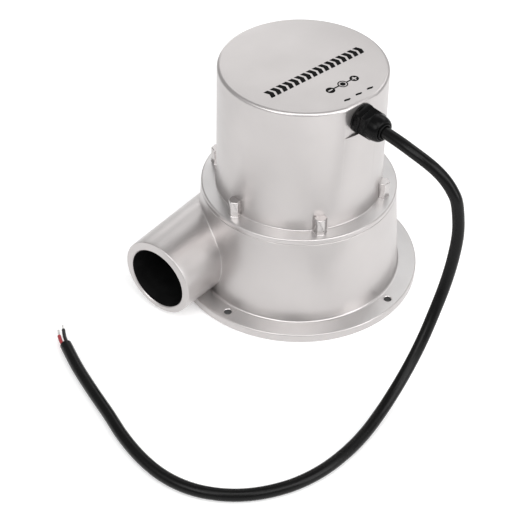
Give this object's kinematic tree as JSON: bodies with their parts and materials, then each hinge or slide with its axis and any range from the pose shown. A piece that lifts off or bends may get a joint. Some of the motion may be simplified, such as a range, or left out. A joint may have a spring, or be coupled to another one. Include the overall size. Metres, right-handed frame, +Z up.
{
  "type": "micro hydro generator",
  "caption": "Small water turbine generator: flanged volute casing with a side inlet pipe, a round generator can bolted on top and a lead from a cable gland.",
  "frame": {"origin": "on the floor, at the middle of the rigid part's box seen from above", "axes": "+Z up along the shaft; -X is the way the inlet pipe opens; +Y is the side of the axis the pipe lies on"},
  "size_m": [0.3555, 0.2662, 0.1942],
  "materials": {
    "silver_paint": "satin silver paint on cast aluminium",
    "steel": "plain stainless steel",
    "bronze": "cast bronze",
    "black_nylon": "moulded, slightly shiny",
    "black_rubber": "smooth rubber",
    "red_pvc": "smooth PVC",
    "black_pvc": "smooth PVC",
    "tinned_copper": "tinned copper strands"
  },
  "bodies": {
    "root": {"black_core": "black_pvc", "black_core_tip": "tinned_copper", "cable_sheath": "black_rubber", "clamp_bolt_1": "steel", "clamp_bolt_2": "steel", "clamp_bolt_3": "steel", "clamp_bolt_4": "steel", "clamp_bolt_5": "steel", "clamp_bolt_6": "steel", "generator_housing": "silver_paint", "gland_body": "black_nylon", "gland_nut": "black_nylon", "gland_seal": "black_rubber", "gland_washer": "black_rubber", "housing_gasket": "black_rubber", "red_core": "red_pvc", "red_core_tip": "tinned_copper", "runner_nut": "steel", "runner_shaft": "steel", "runner_washer": "steel", "seal_plate": "steel", "seal_plate_screw_1": "steel", "seal_plate_screw_2": "steel", "seal_plate_screw_3": "steel", "seal_plate_screw_4": "steel", "shaft_seal": "black_rubber", "turbine_runner": "bronze", "volute_casing": "silver_paint"}
  },
  "joints": []
}
